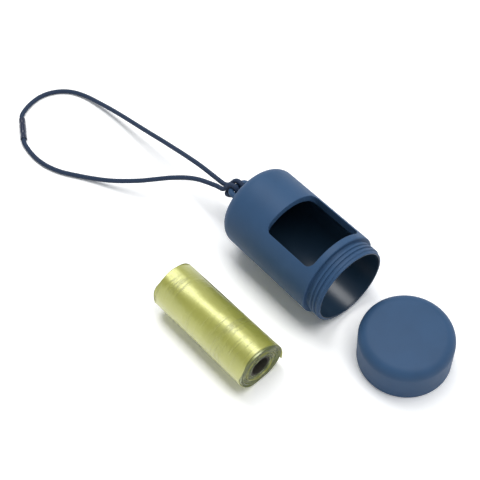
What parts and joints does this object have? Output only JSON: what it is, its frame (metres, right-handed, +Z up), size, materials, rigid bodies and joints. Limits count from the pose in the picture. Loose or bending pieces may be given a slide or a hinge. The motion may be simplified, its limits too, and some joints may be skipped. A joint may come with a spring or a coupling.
{
  "type": "dog poop bag dispenser",
  "caption": "Round waste bag dispenser with a window and wrist cord, opened for a refill: screw cap off and bag roll beside it.",
  "frame": {"origin": "on the surface that the pieces lie on, under the middle of the box round everything but the cord", "axes": "+X along the holder from its closed end to its mouth, +Z up, +Y away from the roll"},
  "size_m": [0.2881, 0.0958, 0.045],
  "materials": {
    "shell_plastic": "fine matt moulding, smoother inside the bore",
    "core_paper": "grey wound paper",
    "bag_film": "thin glossy film, crinkled",
    "cord_braid": "round braid over an elastic core",
    "ferrule_plastic": "glossy shrunk sleeve"
  },
  "bodies": {
    "holder": {"holder": "shell_plastic", "cord_hitch": "cord_braid", "cord_upper": "cord_braid", "cord_lower": "cord_braid", "cord_ferrule": "ferrule_plastic"},
    "cap": {"cap": "shell_plastic"},
    "roll": {"roll_core": "core_paper", "bag_01": "bag_film", "bag_02": "bag_film", "bag_03": "bag_film", "bag_04": "bag_film", "bag_05": "bag_film", "bag_06": "bag_film", "bag_07": "bag_film", "bag_08": "bag_film", "bag_09": "bag_film", "bag_10": "bag_film", "bag_11": "bag_film", "bag_12": "bag_film", "bag_13": "bag_film", "bag_14": "bag_film", "bag_15": "bag_film"}
  },
  "joints": [
    {"name": "cap_lift", "type": "slide", "parent": "holder", "child": "cap", "axis": [0, 0, 1], "range_m": [0, 0.06]},
    {"name": "roll_spin", "type": "hinge", "parent": "holder", "child": "roll", "pos_m": [-0.01867, -0.03408, 0.01303], "axis": [0.9995, 0.0332, 0], "continuous": true}
  ]
}
